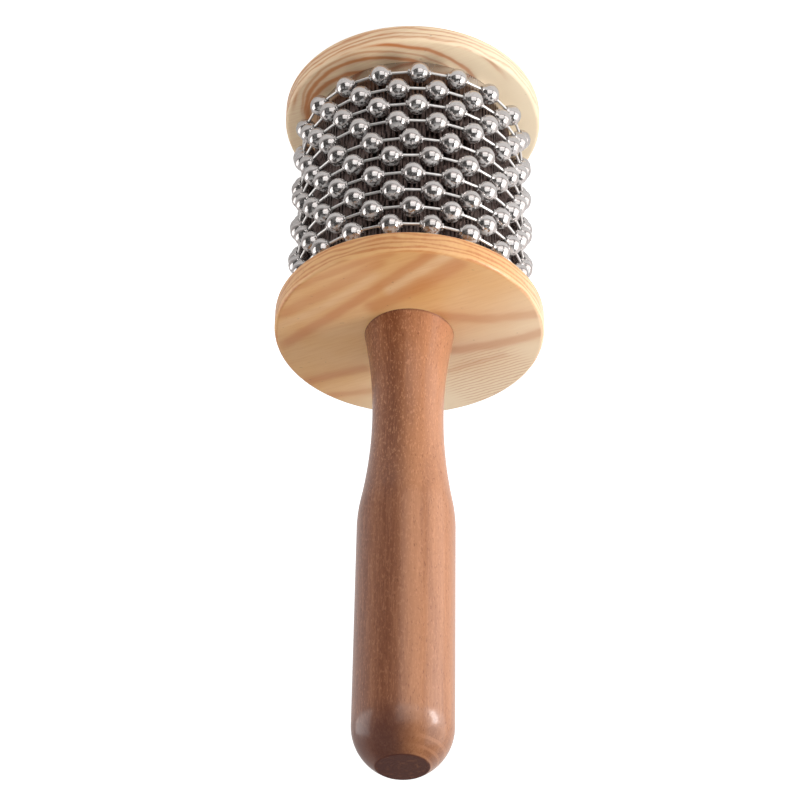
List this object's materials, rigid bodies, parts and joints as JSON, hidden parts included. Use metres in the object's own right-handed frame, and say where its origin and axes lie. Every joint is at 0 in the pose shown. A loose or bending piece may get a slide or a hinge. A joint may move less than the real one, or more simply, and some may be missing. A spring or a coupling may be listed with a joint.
{
  "type": "cabasa",
  "caption": "Hand percussion instrument: a metal-sleeved wooden drum between two pine discs, wrapped in loose loops of ball chain, on a turned hardwood handle.",
  "frame": {"origin": "centre of the rear disc's flat outer face, on which the instrument stands", "axes": "+Z along the drum and the handle, from the rear disc to the butt of the handle; -Y is the side that faces the picture's camera, and the sleeve's seam faces +Y"},
  "size_m": [0.075, 0.075, 0.2172],
  "materials": {
    "handle_hardwood": "satin lacquer",
    "pine": "satin lacquer",
    "core_wood": "bare",
    "sleeve_steel": "ribbed sheet",
    "ball_plating": "bright nickel plate",
    "link_wire": "bright nickel plate",
    "fastener_steel": "zinc plate"
  },
  "bodies": {
    "drum_body": {"handle": "handle_hardwood", "front_disc": "pine", "rear_disc": "pine", "drum_core": "core_wood", "drum_sleeve": "sleeve_steel", "sleeve_nails": "fastener_steel", "handle_screw": "fastener_steel", "screw_cup": "fastener_steel"},
    "chain_loop_01": {"loop_01_balls": "ball_plating", "loop_01_links": "link_wire", "loop_01_closing_ball": "ball_plating"},
    "chain_loop_02": {"loop_02_balls": "ball_plating", "loop_02_links": "link_wire", "loop_02_closing_ball": "ball_plating"},
    "chain_loop_03": {"loop_03_balls": "ball_plating", "loop_03_links": "link_wire", "loop_03_closing_ball": "ball_plating"},
    "chain_loop_04": {"loop_04_balls": "ball_plating", "loop_04_links": "link_wire", "loop_04_closing_ball": "ball_plating"},
    "chain_loop_05": {"loop_05_balls": "ball_plating", "loop_05_links": "link_wire", "loop_05_closing_ball": "ball_plating"},
    "chain_loop_06": {"loop_06_balls": "ball_plating", "loop_06_links": "link_wire", "loop_06_closing_ball": "ball_plating"},
    "chain_loop_07": {"loop_07_balls": "ball_plating", "loop_07_links": "link_wire", "loop_07_closing_ball": "ball_plating"},
    "chain_loop_08": {"loop_08_balls": "ball_plating", "loop_08_links": "link_wire", "loop_08_closing_ball": "ball_plating"},
    "chain_loop_09": {"loop_09_balls": "ball_plating", "loop_09_links": "link_wire", "loop_09_closing_ball": "ball_plating"},
    "chain_loop_10": {"loop_10_balls": "ball_plating", "loop_10_links": "link_wire", "loop_10_closing_ball": "ball_plating"}
  },
  "joints": [
    {"name": "loop_01_turn", "type": "hinge", "parent": "drum_body", "child": "chain_loop_01", "pos_m": [0, 0, 0.04125], "axis": [0, 0, 1], "continuous": true},
    {"name": "loop_02_turn", "type": "hinge", "parent": "drum_body", "child": "chain_loop_02", "pos_m": [0, 0, 0.04125], "axis": [0, 0, 1], "continuous": true},
    {"name": "loop_03_turn", "type": "hinge", "parent": "drum_body", "child": "chain_loop_03", "pos_m": [0, 0, 0.04125], "axis": [0, 0, 1], "continuous": true},
    {"name": "loop_04_turn", "type": "hinge", "parent": "drum_body", "child": "chain_loop_04", "pos_m": [0, 0, 0.04125], "axis": [0, 0, 1], "continuous": true},
    {"name": "loop_05_turn", "type": "hinge", "parent": "drum_body", "child": "chain_loop_05", "pos_m": [0, 0, 0.04125], "axis": [0, 0, 1], "continuous": true},
    {"name": "loop_06_turn", "type": "hinge", "parent": "drum_body", "child": "chain_loop_06", "pos_m": [0, 0, 0.04125], "axis": [0, 0, 1], "continuous": true},
    {"name": "loop_07_turn", "type": "hinge", "parent": "drum_body", "child": "chain_loop_07", "pos_m": [0, 0, 0.04125], "axis": [0, 0, 1], "continuous": true},
    {"name": "loop_08_turn", "type": "hinge", "parent": "drum_body", "child": "chain_loop_08", "pos_m": [0, 0, 0.04125], "axis": [0, 0, 1], "continuous": true},
    {"name": "loop_09_turn", "type": "hinge", "parent": "drum_body", "child": "chain_loop_09", "pos_m": [0, 0, 0.04125], "axis": [0, 0, 1], "continuous": true},
    {"name": "loop_10_turn", "type": "hinge", "parent": "drum_body", "child": "chain_loop_10", "pos_m": [0, 0, 0.04125], "axis": [0, 0, 1], "continuous": true}
  ]
}
